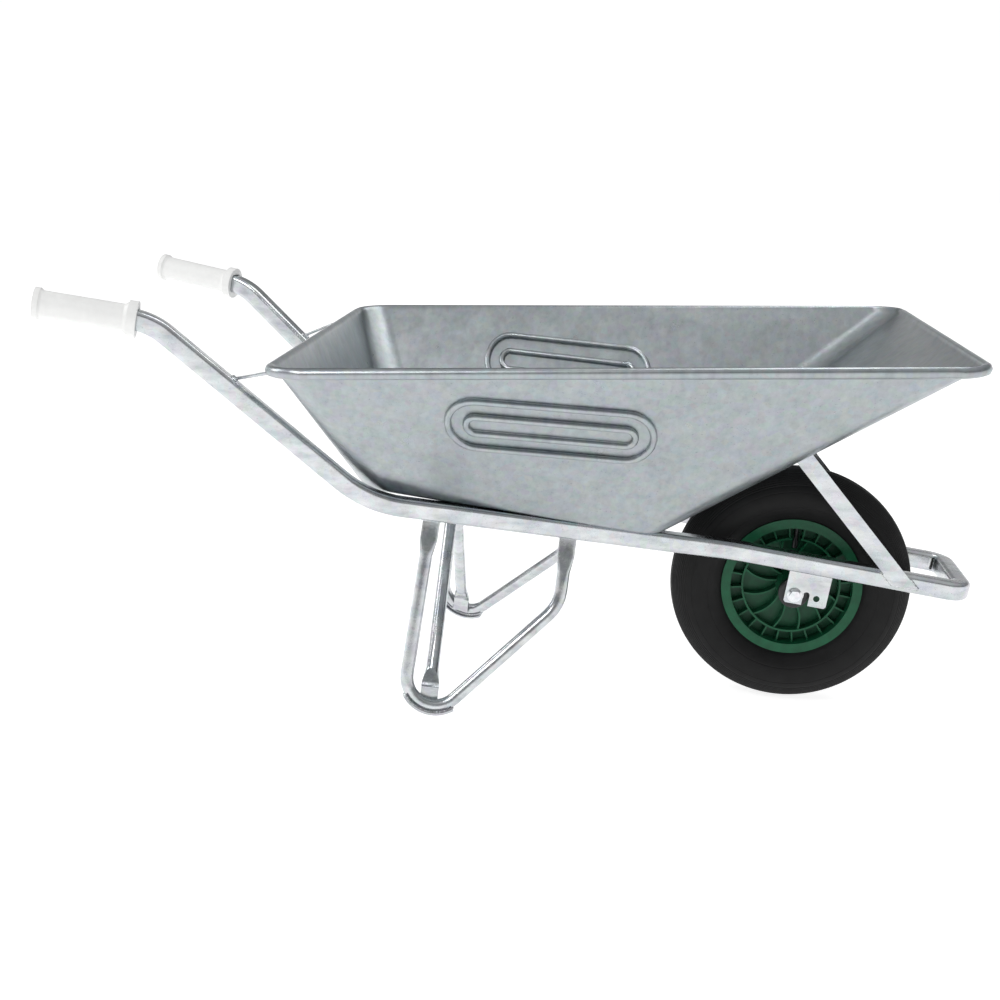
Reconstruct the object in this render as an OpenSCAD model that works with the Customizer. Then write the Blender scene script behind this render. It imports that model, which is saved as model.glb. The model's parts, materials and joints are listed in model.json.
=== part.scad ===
// Single-wheel builder's wheelbarrow: galvanised steel tray on a bent tube frame,
// plastic wheel centre with a pneumatic tyre. Millimetres, +X towards the wheel, +Z up.
// The origin is on the ground, under the middle of the overall length and width.

/* [Wheel] */
// Outside diameter of the tyre
tyre_d = 385; // [340:1:410]
// Width of the tyre across its sidewalls
tyre_w = 92; // [76:1:100]
// Wall thickness of the tyre carcass
tyre_wall = 5; // [3:0.5:7]
// Diameter of the rim flanges
flange_d = 224; // [210:1:236]
// Distance across the two rim flanges
flange_span = 62; // [54:1:68]
// Thickness of a rim flange
flange_t = 4; // [3:0.5:5]
// Depth of the flanges above the bead seat
flange_depth = 11; // [8:0.5:13]
// Wall of the rim barrel
barrel_wall = 4; // [3:0.5:6]
// Outer radius of the wheel centre, inside the ring of windows
centre_r = 79; // [66:1:84]
// Number of windows round the rim
windows = 24; // [18:2:30]
// Number of curved fins on the wheel centre
fins = 12; // [8:1:16]
// Thickness of the ribs and fins
rib_t = 2.6; // [2:0.1:4]
// Outer radius of the hub barrel
hub_r = 24; // [21:0.5:28]
// Length of the hub barrel
hub_len = 106; // [90:1:108]
// Distance of the valve from the middle of the rim, along the axle
valve_side = 12; // [10:0.5:14]
// Diameter of the valve stem
valve_d = 7.4; // [6:0.1:8]

/* [Axle] */
// Diameter of the axle bolt
bolt_d = 10; // [8:1:12]
// Outside diameter of the axle sleeve that the wheel turns on
sleeve_d = 20; // [17:0.5:24]
// Outside diameter of a hub bush
bush_d = 30; // [27:0.5:34]
// Radial running clearance between a bush and the sleeve
bush_clearance = 0.06; // [0.02:0.01:0.1]
// Radial clearance of bolts in their holes
bolt_clearance = 0.25; // [0.1:0.05:0.5]
// Clearance between the inner tube and the tyre
tube_clearance = 0.3; // [0.1:0.1:0.6]
// Clearance between pieces that are seated in each other
seat_clearance = 0.02; // [0.01:0.01:0.05]
// Width across the flats of the axle bolt head
head_af = 16; // [14:1:19]
// Flange diameter of the axle bolt head and nut
head_flange_d = 23; // [21:0.5:26]

/* [Frame tube] */
// Width of the frame tube
tube_w = 30; // [26:1:34]
// Height of the frame tube
tube_h = 29; // [25:1:34]
// Corner radius of the frame tube
tube_r = 7; // [4:0.5:9]
// Wall of the frame tube
tube_wall = 1.5; // [1.2:0.1:2.5]
// Clear gap between the two rails beside the wheel
fork_gap = 130; // [122:1:150]
// Height of the rail centreline above the axle, over the axle
rail_rise = 56.8; // [50:0.5:70]
// Slope of the flat part of the frame, down towards the wheel
frame_tilt = 5.71; // [3:0.1:8]
// Distance from the axle to the middle of the front bar, along the frame
front_reach = 256; // [236:1:290]
// Bend radius of the two front corners
corner_r = 24; // [24:1:48]
// Distance behind the axle where the rails begin to spread
spread_back = 100; // [60:1:140]
// Angle that each rail spreads to its own side
spread_angle = 11.4; // [7:0.1:14]
// Bend radius where the rails begin to spread
spread_r = 150; // [90:5:260]
// Rail length from the spread bend to the handle bend
rail_run = 580; // [540:1:640]
// Angle that the handles rise from the rails
handle_angle = 33; // [24:0.5:42]
// Bend radius at the foot of each handle
handle_r = 180; // [120:5:260]
// Length of each handle between its two bends
handle_run = 410.5; // [340:0.5:460]
// Angle of the grips above the flat part of the frame
grip_angle = 1.1; // [-6:0.1:8]
// Bend radius below each grip
wrist_r = 100; // [70:5:140]

/* [Grips] */
// Length of a grip
grip_len = 144; // [120:1:170]
// Diameter of the grip body
grip_d = 40; // [39:0.5:46]
// Diameter of the thick collar at the front of a grip
collar_d = 53; // [48:1:60]
// Length of the collar
collar_len = 13; // [9:0.5:18]
// Diameter of the ring at the closed end
end_ring_d = 46; // [43:0.5:52]
// Length of the ring at the closed end
end_ring_len = 8; // [5:0.5:12]
// Thickness of the closed end
end_wall = 4; // [3:0.5:6]
// Clearance between a grip and the frame tube
grip_clearance = 0.1; // [0.05:0.05:0.3]
// Distance from the wrist bend corner to the mouth of the grip
grip_offset = 18.8; // [16:0.1:24]

/* [Tray] */
// Thickness of the tray sheet
sheet = 1.5; // [1.2:0.1:2.5]
// Length of the tray at the rim, along the rim
tray_len = 986; // [880:1:1100]
// Width of the tray across the rear rim
tray_w_rear = 781; // [700:1:840]
// Width of the tray across the front rim
tray_w_front = 726; // [640:1:800]
// Angle between the rim and the flat part of the frame
rim_angle = 10.16; // [8:0.1:13]
// Depth of the tray at the rear rim, above the floor
depth_rear = 194; // [150:1:240]
// Distance behind the axle of the rear rim
rim_back = 819; // [790:1:840]
// Distance behind the axle of the rear edge of the floor
floor_back = 701; // [660:1:720]
// Length of the floor
floor_len = 493; // [420:1:520]
// Width of the floor at its rear
floor_w_rear = 374; // [340:1:420]
// Width of the floor at its front
floor_w_front = 309; // [290:1:380]
// Radius of the floor corners in plan
floor_r = 60; // [40:1:75]
// Rounding between the floor and the walls
floor_edge_r = 18; // [8:1:30]
// Radius of the rim corners in plan
rim_r = 58; // [40:1:80]
// Radius of the rolled bead on the rim
bead_r = 8; // [6:0.5:10]
// Angle round the rounded floor edge where the walls start
edge_turn = 45; // [30:1:60]

/* [Legs] */
// Outside diameter of the leg tube
leg_d = 20; // [18:0.5:24]
// Wall of the leg tube
leg_wall = 1.5; // [1.2:0.1:2]
// Distance from the spread bend to the rear top of a leg, along the rail
leg_back = 484; // [440:1:520]
// Distance between the two tops of a leg, along the rail
leg_span = 217; // [180:1:250]
// Angle that a leg leans outwards
leg_splay = 14.4; // [6:0.1:20]
// Angle that the rear tube of a leg leans backwards
leg_lean = 1.5; // [0:0.1:5]
// Angle of the sloping tube of a leg above the rail's line
leg_slope = 48.4; // [42:0.1:56]
// Bend radius at the foot
foot_bend_r = 44; // [34:1:56]
// Bend radius near the forward top of a leg
knee_r = 60; // [40:1:80]
// Width of the flattened tube ends
flat_w = 27; // [24:0.5:30]
// Thickness of the flattened tube ends
flat_t = 5; // [3.5:0.5:8]
// Length of the flattened tube ends
flat_len = 30; // [18:1:40]
// Length over which a tube goes from flat to round
taper_len = 24; // [14:1:34]
// Width of the foot plates
foot_w = 26; // [20:1:36]
// Thickness of the foot plates
foot_t = 3.2; // [2:0.1:5]

/* [Brackets, struts and cross members] */
// Thickness of the axle brackets
bracket_t = 4; // [3:0.5:6]
// Length of an axle bracket behind the axle
bracket_back = 15; // [14:1:22]
// Length of an axle bracket in front of the axle
bracket_front = 52; // [48:1:64]
// Depth of an axle bracket below the axle
bracket_drop = 14; // [12:1:20]
// Width of the wheel slot in an axle bracket
slot_w = 10; // [8:0.5:12]
// Distance of the slot in front of the axle
slot_ahead = 18.5; // [17:0.5:21]
// Distance of the spare hole in front of the axle
spare_ahead = 35; // [33:0.5:38]
// Diameter of the spare hole
spare_d = 10; // [8:0.5:12]
// Width of the front struts
strut_w = 26; // [20:1:30]
// Thickness of the front struts
strut_t = 5; // [4:0.5:7]
// Distance in front of the axle where a strut crosses the rail centreline
strut_ahead = 159; // [110:1:168]
// Angle of the front struts above the flat part of the frame, leaning back
strut_angle = 41.4; // [36:0.2:50]
// Length of the strut tab that is bolted to the tray
strut_tab = 34; // [30:1:44]
// Outside diameter of the cross members
cross_d = 22; // [18:1:24]
// Distance from the spread bend to the rear cross member, along the frame
cross_rear = 457; // [430:1:480]
// Distance from the spread bend to the front cross member, along the frame
cross_front = 150; // [125:1:200]
// Diameter of the rods that stay the tray to the handles
stay_d = 5; // [4:0.5:8]
// Distance of a stay's foot up its handle
stay_up = 269; // [220:1:300]
// Angle round the rim corner where a stay ends
stay_turn = 40; // [20:1:60]

/* [Tray fasteners] */
// Diameter of the bolts that hold the tray
tray_bolt_d = 8; // [6:1:8]
// Distance between the two tray bolts on a cross member
tray_bolt_gap = 150; // [110:5:160]
// Width across the flats of the tray nuts
tray_nut_af = 13; // [10:1:13]
// Diameter of the tray washers
tray_washer_d = 18; // [15:0.5:22]
// Thickness of the tray washers
tray_washer_t = 1.6; // [1.2:0.1:2.5]

/* [Hidden] */
$fn = 64;
hex_fn = 6;
eps = 0.01;

steel = "silver";

// Frame positions, measured in the plane of the flat frame with its origin over the axle
rail_y = fork_gap / 2 + tube_w / 2;
grip_dip = handle_angle - grip_angle;
handle_tan = handle_r * tan(handle_angle / 2);
wrist_tan = wrist_r * tan(grip_dip / 2);
spread_tan = spread_r * tan(spread_angle / 2);
grip_tail = grip_offset + grip_len - end_wall - wrist_tan - 1;

// How far a point of the frame lies behind the axle: the end face of the grip
function plan_back(along) = -spread_back - along * cos(spread_angle);
wrist_along = rail_run + handle_run * cos(handle_angle);
wrist_up = handle_run * sin(handle_angle);
end_along = wrist_along + (grip_offset + grip_len) * cos(grip_angle);
end_up = wrist_up + (grip_offset + grip_len) * sin(grip_angle);
grip_axis_x = -cos(grip_angle) * cos(spread_angle) * cos(frame_tilt) + sin(grip_angle) * sin(frame_tilt);
rear_x = plan_back(end_along) * cos(frame_tilt) + end_up * sin(frame_tilt)
  - end_ring_d / 2 * sqrt(1 - grip_axis_x * grip_axis_x);
front_x = (front_reach + tube_w / 2) * cos(frame_tilt) + (tube_h / 2 - tube_r) * sin(frame_tilt)
  + tube_r * (1 - cos(frame_tilt));
axle_x = -(rear_x + front_x) / 2;
axle_z = tyre_d / 2;

// Stations along the middle of the frame tube: x, y, z, heading and pitch
rail_yaw = 180 - spread_angle;
handle_start = rail_run - handle_tan;
dip_along = wrist_along - wrist_tan * cos(handle_angle) + wrist_r * sin(handle_angle);
dip_up = wrist_up - wrist_tan * sin(handle_angle) - wrist_r * cos(handle_angle);
turn_steps = 8;
spread_steps = 3;
section_steps = 4;
function rail_station(along, up, pitch) =
  [along * cos(rail_yaw) - spread_back, rail_y + along * sin(rail_yaw), up, rail_yaw, pitch];
function left_stations(over) = [
  for (i = [0 : turn_steps]) let (t = 90 + 90 * i / turn_steps)
    [front_reach - corner_r * (1 - sin(t)), rail_y - corner_r * (1 + cos(t)), 0, t, 0],
  for (i = [0 : spread_steps]) let (t = 180 - spread_angle * i / spread_steps)
    [spread_tan - spread_back - spread_r * sin(t), rail_y + spread_r * (1 + cos(t)), 0, t, 0],
  for (i = [0 : turn_steps]) let (t = handle_angle * i / turn_steps)
    rail_station(handle_start + handle_r * sin(t), handle_r * (1 - cos(t)), t),
  for (i = [0 : turn_steps]) let (t = handle_angle - grip_dip * i / turn_steps)
    rail_station(dip_along - wrist_r * sin(t), dip_up + wrist_r * cos(t), t),
  rail_station(
    wrist_along + (wrist_tan + grip_tail + over) * cos(grip_angle),
    wrist_up + (wrist_tan + grip_tail + over) * sin(grip_angle), grip_angle
  )
];
function frame_stations(over) = let (left = left_stations(over)) [
  for (i = [len(left) - 1 : -1 : 0]) [left[i][0], -left[i][1], left[i][2], 180 - left[i][3], -left[i][4]],
  for (i = [0 : len(left) - 1]) left[i]
];

// A ring of points round the tube at a station, square to it
function tube_ring(station, inset) = [
  for (c = [0 : 3], i = [0 : section_steps])
    let (
      t = 90 * c + 90 * i / section_steps,
      a = (tube_w / 2 - tube_r) * (c == 0 || c == 3 ? 1 : -1) + (tube_r - inset) * cos(t),
      b = (tube_h / 2 - tube_r) * (c < 2 ? 1 : -1) + (tube_r - inset) * sin(t)
    )
    [
      station[0] - a * sin(station[3]) - b * sin(station[4]) * cos(station[3]),
      station[1] + a * cos(station[3]) - b * sin(station[4]) * sin(station[3]),
      station[2] + b * cos(station[4])
    ]
];

// The axle stack, outwards from the middle: hub, bush flange, dust cap, washer, bracket
flange_end = hub_len / 2 + 3;
bracket_in = fork_gap / 2 + 4;
bracket_out = bracket_in + bracket_t;
axle_washer_t = 1.6;
sleeve_end = bracket_in - axle_washer_t;
cap_end = sleeve_end - 0.8;
bolt_r = bolt_d / 2;
bolt_hole_r = bolt_r + bolt_clearance;
sleeve_r = sleeve_d / 2;
bush_bore_r = sleeve_r + bush_clearance;
bush_len = 22;
head_h = 9;
nut_h = 11;

// The tyre section, measured from the wheel axis
section_r = tyre_w / 2;
section_at = tyre_d / 2 - section_r;
barrel_r = flange_d / 2 - flange_depth;
barrel_in = barrel_r - barrel_wall;
bead_in = flange_span / 2 - flange_t;
tube_out_r = section_r - tyre_wall - tube_clearance;
valve_top = section_at - sqrt(tube_out_r * tube_out_r - pow(valve_side - valve_d / 2, 2)) - 0.1;
valve_tip = barrel_in - 36;

// Leg plane: +X forwards along the rail from the rear top, +Z up, origin on the rail's underside
leg_r = leg_d / 2;
leg_top = 4;
leg_u_z = -sin(frame_tilt) * cos(spread_angle);
leg_v_z = cos(leg_splay) * cos(frame_tilt) + sin(leg_splay) * sin(frame_tilt) * sin(spread_angle);
leg_w_z = sin(leg_splay) * cos(frame_tilt) - sin(frame_tilt) * cos(leg_splay) * sin(spread_angle);
leg_top_z = axle_z + rail_rise - sin(frame_tilt) * plan_back(leg_back) - cos(frame_tilt) * tube_h / 2;
foot_reach = (foot_bend_r + leg_r + foot_t) * sqrt(leg_u_z * leg_u_z + leg_v_z * leg_v_z);
foot_start = (leg_top + foot_bend_r * cos(leg_lean)) * leg_u_z - foot_bend_r * sin(leg_lean) * leg_v_z;
foot_edge = foot_w / 2 * abs(leg_w_z);
leg_fall = sin(leg_lean) * leg_u_z + cos(leg_lean) * leg_v_z;
leg_rear_run = (leg_top_z + foot_start - foot_reach - foot_edge) / leg_fall;
foot_u = leg_top - leg_rear_run * sin(leg_lean) + foot_bend_r * cos(leg_lean);
foot_v = -leg_rear_run * cos(leg_lean) - foot_bend_r * sin(leg_lean);
foot_turn = 90 + leg_lean + leg_slope;
slope_u = foot_u + foot_bend_r * sin(leg_slope);
slope_v = foot_v - foot_bend_r * cos(leg_slope);
slope_run = (leg_span - knee_r * (1 - sin(leg_slope)) - slope_u) / cos(leg_slope);
leg_front_run = -(slope_v + slope_run * sin(leg_slope) + knee_r * cos(leg_slope));

// Stations along the middle of a leg tube: forwards, up, direction, and 1 where it is flattened
leg_start = flat_len + taper_len;
leg_over = 6;
foot_steps = 12;
knee_steps = 4;
leg_sides = 24;
leg_stations = [
  [leg_top + leg_over * sin(leg_lean), leg_over * cos(leg_lean), -90 - leg_lean, 1],
  [leg_top - flat_len * sin(leg_lean), -flat_len * cos(leg_lean), -90 - leg_lean, 1],
  [leg_top - leg_start * sin(leg_lean), -leg_start * cos(leg_lean), -90 - leg_lean, 0],
  for (i = [0 : foot_steps]) let (t = -90 - leg_lean + foot_turn * i / foot_steps)
    [foot_u + foot_bend_r * sin(t), foot_v - foot_bend_r * cos(t), t, 0],
  for (i = [0 : knee_steps]) let (t = leg_slope + (90 - leg_slope) * i / knee_steps)
    [leg_span - knee_r * (1 - sin(t)), -leg_front_run - knee_r * cos(t), t, 0],
  [leg_span, -leg_start, 90, 0],
  [leg_span, -flat_len, 90, 1],
  [leg_span, leg_over, 90, 1]
];

// A ring of points round one station, square to the tube
function leg_ring(station, r) = [
  for (i = [0 : leg_sides - 1])
    let (
      t = 360 * i / leg_sides,
      a = station[3] == 0 ? r * cos(t) : flat_w / 2 * sign(cos(t)) * sqrt(abs(cos(t))),
      b = station[3] == 0 ? r * sin(t) : flat_t / 2 * sign(sin(t)) * sqrt(abs(sin(t)))
    )
    [station[0] + a * sin(station[2]), b, station[1] - a * cos(station[2])]
];

// Leg braces: lower tongue beside the foot bend, upper end under the rear cross member
cross_x_rear = -spread_back - cross_rear;
cross_x_front = -spread_back - cross_front;
cross_z = tube_h / 2 - cross_d / 2;
brace_w = -leg_r - flat_t / 2;
brace_u = foot_u - 5;
brace_v = foot_v - foot_bend_r + 14;
brace_neck = 12;
half_gap = 0.15;
function leg_point(u, v, w) = [
  plan_back(leg_back) + u * cos(spread_angle)
    + (w * cos(leg_splay) - v * sin(leg_splay)) * sin(spread_angle),
  rail_y + leg_back * sin(spread_angle) - u * sin(spread_angle)
    + (w * cos(leg_splay) - v * sin(leg_splay)) * cos(spread_angle),
  -tube_h / 2 + v * cos(leg_splay) + w * sin(leg_splay)
];
brace_foot = leg_point(brace_u, brace_v + brace_neck, brace_w);
brace_head = [cross_x_rear, 0, cross_z];
brace_go = brace_head - brace_foot;
brace_len = norm(brace_go);
brace_roll = asin(-brace_go[1] / brace_len);
brace_pitch = atan2(brace_go[0], brace_go[2]);

// Tray rim, in its own plane: +X forwards from the rear edge
taper = atan((tray_w_rear - tray_w_front) / 2 / tray_len);
rim_y_rear = tray_w_rear / 2 - rim_r * tan(taper) - rim_r / cos(taper);
rim_y_front = tray_w_front / 2 + rim_r * tan(taper) - rim_r / cos(taper);
bead_path_r = rim_r - bead_r;
floor_z = tube_h / 2;

// Front wall of the tray, outer face, in the middle plane of the frame
lip = 2 * bead_r - sheet;
wall_top_x = -rim_back + (tray_len - lip) * cos(rim_angle) + bead_r * sin(rim_angle);
wall_top_z = floor_z + depth_rear + (tray_len - lip) * sin(rim_angle) - bead_r * cos(rim_angle);
wall_foot_x = -floor_back + floor_len - floor_edge_r * (1 - sin(edge_turn));
wall_foot_z = floor_z + floor_edge_r * (1 - cos(edge_turn));
wall_angle = atan2(wall_top_z - wall_foot_z, wall_top_x - wall_foot_x);

// Corners of the floor and of the rim, and how far each turns, from the rear left corner round
corner_steps = 8;
wall_steps = 4;
curl_step = 45;
floor_corners = [
  [-floor_back + floor_r, floor_w_rear / 2 - floor_r],
  [-floor_back + floor_r, floor_r - floor_w_rear / 2],
  [-floor_back + floor_len - floor_r, floor_r - floor_w_front / 2],
  [-floor_back + floor_len - floor_r, floor_w_front / 2 - floor_r]
];
rim_corners = [
  [rim_r, rim_y_rear], [rim_r, -rim_y_rear],
  [tray_len - rim_r, -rim_y_front], [tray_len - rim_r, rim_y_front]
];
corner_start = [90 - taper, 180, 270 + taper, 0];
corner_turn = [90 + taper, 90 + taper, 90 - taper, 90 - taper];

// A ring of points round four corners
function round_ring(corners, r) = [
  for (c = [0 : 3], i = [0 : corner_steps])
    let (t = corner_start[c] + corner_turn[c] * i / corner_steps)
    corners[c] + r * [cos(t), sin(t)]
];
function floor_ring(r, z) = [for (p = round_ring(floor_corners, r)) [p[0], p[1], floor_z + z]];
function rim_ring(r, z) = [
  for (p = round_ring(rim_corners, r)) [
    -rim_back + p[0] * cos(rim_angle) - z * sin(rim_angle), p[1],
    floor_z + depth_rear + p[0] * sin(rim_angle) + z * cos(rim_angle)
  ]
];

// Rings of the rounded floor edge, rings of the curl seen from its own middle, and rings up the walls
function edge_ring(t, inset) = let (r = floor_edge_r - inset)
  floor_ring(floor_r - floor_edge_r + r * sin(t), floor_edge_r - r * cos(t));
function curl_ring(t, r) = rim_ring(bead_path_r + r * cos(t), r * sin(t) - bead_r);
function wall_ring(up, inset) =
  let (foot = edge_ring(edge_turn, inset), top = curl_ring(180, bead_r - sheet + inset))
  [for (i = [0 : len(foot) - 1]) foot[i] + up * (top[i] - foot[i])];

// A strut's centreline meets the outer face of the front wall this far down from the wall's top
strut_cross = wall_angle + strut_angle;
strut_rise = (strut_ahead - wall_top_x) * sin(wall_angle) + wall_top_z * cos(wall_angle);
strut_reach = strut_rise / sin(strut_cross);
strut_down = (wall_top_z - strut_reach * sin(strut_angle)) / sin(wall_angle);
strut_y = fork_gap / 2 + tube_w;
tab_y = strut_y - strut_tab / 2;

// Tray stays, from the top of a handle to the underside of the bead at the rear corner
stay_along = rail_run + stay_up * cos(handle_angle) - tube_h / 2 * sin(handle_angle);
stay_foot = [
  plan_back(stay_along), rail_y + stay_along * sin(spread_angle),
  stay_up * sin(handle_angle) + tube_h / 2 * cos(handle_angle)
];
stay_rim_x = rim_r - bead_path_r * cos(stay_turn);
stay_head = [
  -rim_back + stay_rim_x * cos(rim_angle) + bead_r * sin(rim_angle),
  rim_y_rear + bead_path_r * sin(stay_turn),
  floor_z + depth_rear + stay_rim_x * sin(rim_angle) - bead_r * cos(rim_angle)
];
stay_go = stay_head - stay_foot;
stay_len = norm(stay_go);

// Length of the wider mouth of a grip, which clears the end of the wrist bend
mouth_relief_len = wrist_tan - grip_offset + 2;
mouth_relief = 1;

// Smaller sizes of the tray fasteners and the wheel centre
tray_nut_h = 6.5;
tray_stack = tray_washer_t + tray_nut_h + 3;
web_half = 2.5;
ring_half = 22;
ring_in = centre_r - 3;
fin_half = 20;
fin_r = 58;

// Places children given in the plane of the flat frame
module on_frame() {
  translate([axle_x, 0, axle_z + rail_rise]) rotate([0, frame_tilt, 0]) children();
}

// Places children at a rail, a distance behind the spread bend, with +X forwards along the rail
module on_rail(back) {
  on_frame() translate([-spread_back, rail_y, 0]) rotate([0, 0, -spread_angle])
    translate([-back, 0, 0]) children();
}

// Repeats a left-hand piece on the right-hand side
module on_right() {
  mirror([0, 1, 0]) children();
}

module round_rect(w, h, r) {
  square([w - 2 * r, h], center = true);
  square([w, h - 2 * r], center = true);
  for (x = [-1, 1], y = [-1, 1]) translate([x * (w / 2 - r), y * (h / 2 - r)]) circle(r = r);
}

// Section of the frame tube, with its height along Y
module tube_section(inset) {
  round_rect(tube_w - 2 * inset, tube_h - 2 * inset, tube_r - inset);
}

module tube_straight(len, inset) {
  rotate([90, 0, 90]) linear_extrude(height = len) tube_section(inset);
}

// The whole bent tube, open at both ends
module main_frame() {
  color(steel) on_frame() difference() {
    skin([for (station = frame_stations(0)) tube_ring(station, 0)]);
    skin([for (station = frame_stations(1)) tube_ring(station, tube_wall)]);
  }
}

// Places children at a leg, in the leg's own plane
module on_leg() {
  on_rail(leg_back) translate([0, 0, -tube_h / 2]) rotate([leg_splay, 0, 0]) children();
}

// Places children at the bend below a grip, with -X along the grip
module on_wrist() {
  on_rail(rail_run) rotate([0, handle_angle, 0]) translate([-handle_run, 0, 0])
    rotate([0, -grip_dip, 0]) children();
}

// Places children in the plane of the tray's rim
module on_rim() {
  on_frame() translate([-rim_back, 0, floor_z + depth_rear]) rotate([0, -rim_angle, 0]) children();
}

// Places children on the outer face of the front wall, with +Z out of the tray and +X down the wall
module on_front_wall() {
  on_frame() translate([wall_top_x, 0, wall_top_z]) rotate([0, 180 - wall_angle, 0]) children();
}

// Places children at the axle, square to the ground
module on_axle() {
  translate([axle_x, 0, axle_z]) children();
}

// Places children at the axle, in line with the frame
module on_bracket() {
  on_axle() rotate([0, frame_tilt, 0]) children();
}

// A round bar or ring along the axle, from one distance to another towards the left
module along_axle(from, to, r) {
  translate([0, from, 0]) rotate([-90, 0, 0]) cylinder(h = to - from, r = r);
}

module rear_cross_member() {
  color(steel) cross_member(cross_x_rear);
}

module front_cross_member() {
  color(steel) cross_member(cross_x_front);
}

// Round tube between the inner faces of the rails
module cross_member(x) {
  reach = rail_y - (x + spread_back) * tan(spread_angle);
  difference() {
    on_frame() translate([x, -reach, cross_z]) rotate([-90, 0, 0]) cylinder(h = 2 * reach, d = cross_d);
    on_frame() translate([x, -reach - 1, cross_z]) rotate([-90, 0, 0])
      cylinder(h = 2 * reach + 2, d = cross_d - 2 * tube_wall);
    rail_space();
    on_right() rail_space();
    tray_bolt_holes();
  }
}

// Everything beyond the inner face of the left rail
module rail_space() {
  on_rail(0) translate([-600, -tube_w / 2, -50]) cube([600, 100, 100]);
}

module tray_bolt_holes() {
  at_tray_bolts() translate([0, 0, -40]) cylinder(h = 80, d = tray_bolt_d + 2 * bolt_clearance);
}

// Places children at the four tray bolts, on the outside of the tray's floor
module at_tray_bolts() {
  on_frame() for (x = [cross_x_rear, cross_x_front], y = [-1, 1])
    translate([x, y * tray_bolt_gap / 2, floor_z]) children();
}

// Places children at the two bolts in the strut tabs, on the outer face of the front wall
module at_strut_bolts() {
  on_front_wall() for (y = [-1, 1]) translate([strut_down, y * tab_y, 0]) children();
}

// A closed skin over a chain of rings of points, with flat ends
module skin(rings) {
  n = len(rings[0]);
  last = (len(rings) - 1) * n;
  points = [for (ring = rings, p = ring) p];
  faces = [
    [for (i = [0 : n - 1]) i],
    [for (i = [0 : n - 1]) last + n - 1 - i],
    for (j = [0 : len(rings) - 2], i = [0 : n - 1])
      let (a = j * n + i, b = j * n + (i + 1) % n) each [[a, a + n, b], [b, a + n, b + n]]
  ];
  polyhedron(points = points, faces = faces, convexity = 8);
}

// A sheet between two matching chains of rings, closed at both ends and round the last rings
module shell(outside, inside) {
  n = len(outside[0]);
  rows = len(outside);
  last = (rows - 1) * n;
  other = rows * n;
  points = [for (ring = outside, p = ring) p, for (ring = inside, p = ring) p];
  faces = [
    [for (i = [0 : n - 1]) i],
    [for (i = [0 : n - 1]) other + n - 1 - i],
    for (j = [0 : rows - 2], i = [0 : n - 1])
      let (a = j * n + i, b = j * n + (i + 1) % n)
      each [
        [a, a + n, b], [b, a + n, b + n],
        [other + a, other + b, other + a + n], [other + b, other + b + n, other + a + n]
      ],
    for (i = [0 : n - 1])
      let (a = last + i, b = last + (i + 1) % n) each [[a, other + a, b], [b, other + a, other + b]]
  ];
  polyhedron(points = points, faces = faces, convexity = 8);
}

// A cone pinched between two sloping planes
module tube_taper() {
  flat_corner = norm([flat_w, flat_t]) / 2;
  intersection() {
    cylinder(h = taper_len, r1 = leg_r, r2 = flat_corner);
    translate([-flat_w, 0, 0]) rotate([90, 0, 90]) linear_extrude(height = 2 * flat_w) polygon([
      [-leg_r - 1, 0], [leg_r + 1, 0], [flat_t / 2, taper_len], [-flat_t / 2, taper_len]
    ]);
  }
}

module flat_plate(len) {
  translate([-flat_w / 2, -flat_t / 2, 0]) cube([flat_w, flat_t, len]);
}

// Bent tube with two flattened tops, cut flush with the rail, with a vent hole for the zinc
module leg() {
  vent_r = 3;
  difference() {
    on_leg() skin([for (station = leg_stations) leg_ring(station, leg_r)]);
    on_leg() skin([for (station = leg_stations) if (station[3] == 0) leg_ring(station, leg_r - leg_wall)]);
    on_rail(leg_back) translate([-100, -100, -tube_h / 2]) cube([500, 200, 60]);
    on_leg() translate([leg_top - 1, 0, -leg_start - 12]) rotate([90, 0, 0]) cylinder(h = leg_d, r = vent_r);
  }
}

module left_leg() {
  color(steel) leg();
}

module right_leg() {
  color(steel) on_right() leg();
}

module foot_plate() {
  on_leg() translate([foot_u, 0, foot_v]) rotate([90, 0, 0]) rotate([0, 0, 216])
    rotate_extrude(angle = 89) translate([foot_bend_r + leg_r, -foot_w / 2]) square([foot_t, foot_w]);
}

module left_foot_plate() {
  color(steel) foot_plate();
}

module right_foot_plate() {
  color(steel) on_right() foot_plate();
}

// One half of the inverted V between the feet, cut where the two halves meet under the cross member
module leg_brace() {
  bend = 6;
  neck = bend + taper_len;
  difference() {
    union() {
      on_leg() translate([brace_u, brace_w, brace_v - brace_neck]) flat_plate(2 * brace_neck);
      on_leg() translate([brace_u - flat_w / 2, brace_w, brace_v + brace_neck]) rotate([0, 90, 0])
        cylinder(h = flat_w, d = flat_t + 0.6);
      on_brace() flat_plate(bend);
      on_brace() translate([0, 0, neck]) mirror([0, 0, 1]) tube_taper();
      on_brace() translate([0, 0, neck]) cylinder(h = brace_len - neck, r = leg_r);
    }
    on_brace() translate([0, 0, neck + 2]) cylinder(h = brace_len, r = leg_r - leg_wall);
    on_frame() translate([cross_x_rear - 100, -200 + half_gap, -300]) cube([200, 200, 600]);
    on_frame() translate([cross_x_rear, -100, cross_z]) rotate([-90, 0, 0]) cylinder(h = 200, d = cross_d);
  }
}

// Places children at the foot of a brace's round part, with +Z up along the brace
module on_brace() {
  on_frame() translate(brace_foot) rotate([brace_roll, brace_pitch, 0]) children();
}

module left_leg_brace() {
  color(steel) leg_brace();
}

module right_leg_brace() {
  color(steel) on_right() leg_brace();
}

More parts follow.
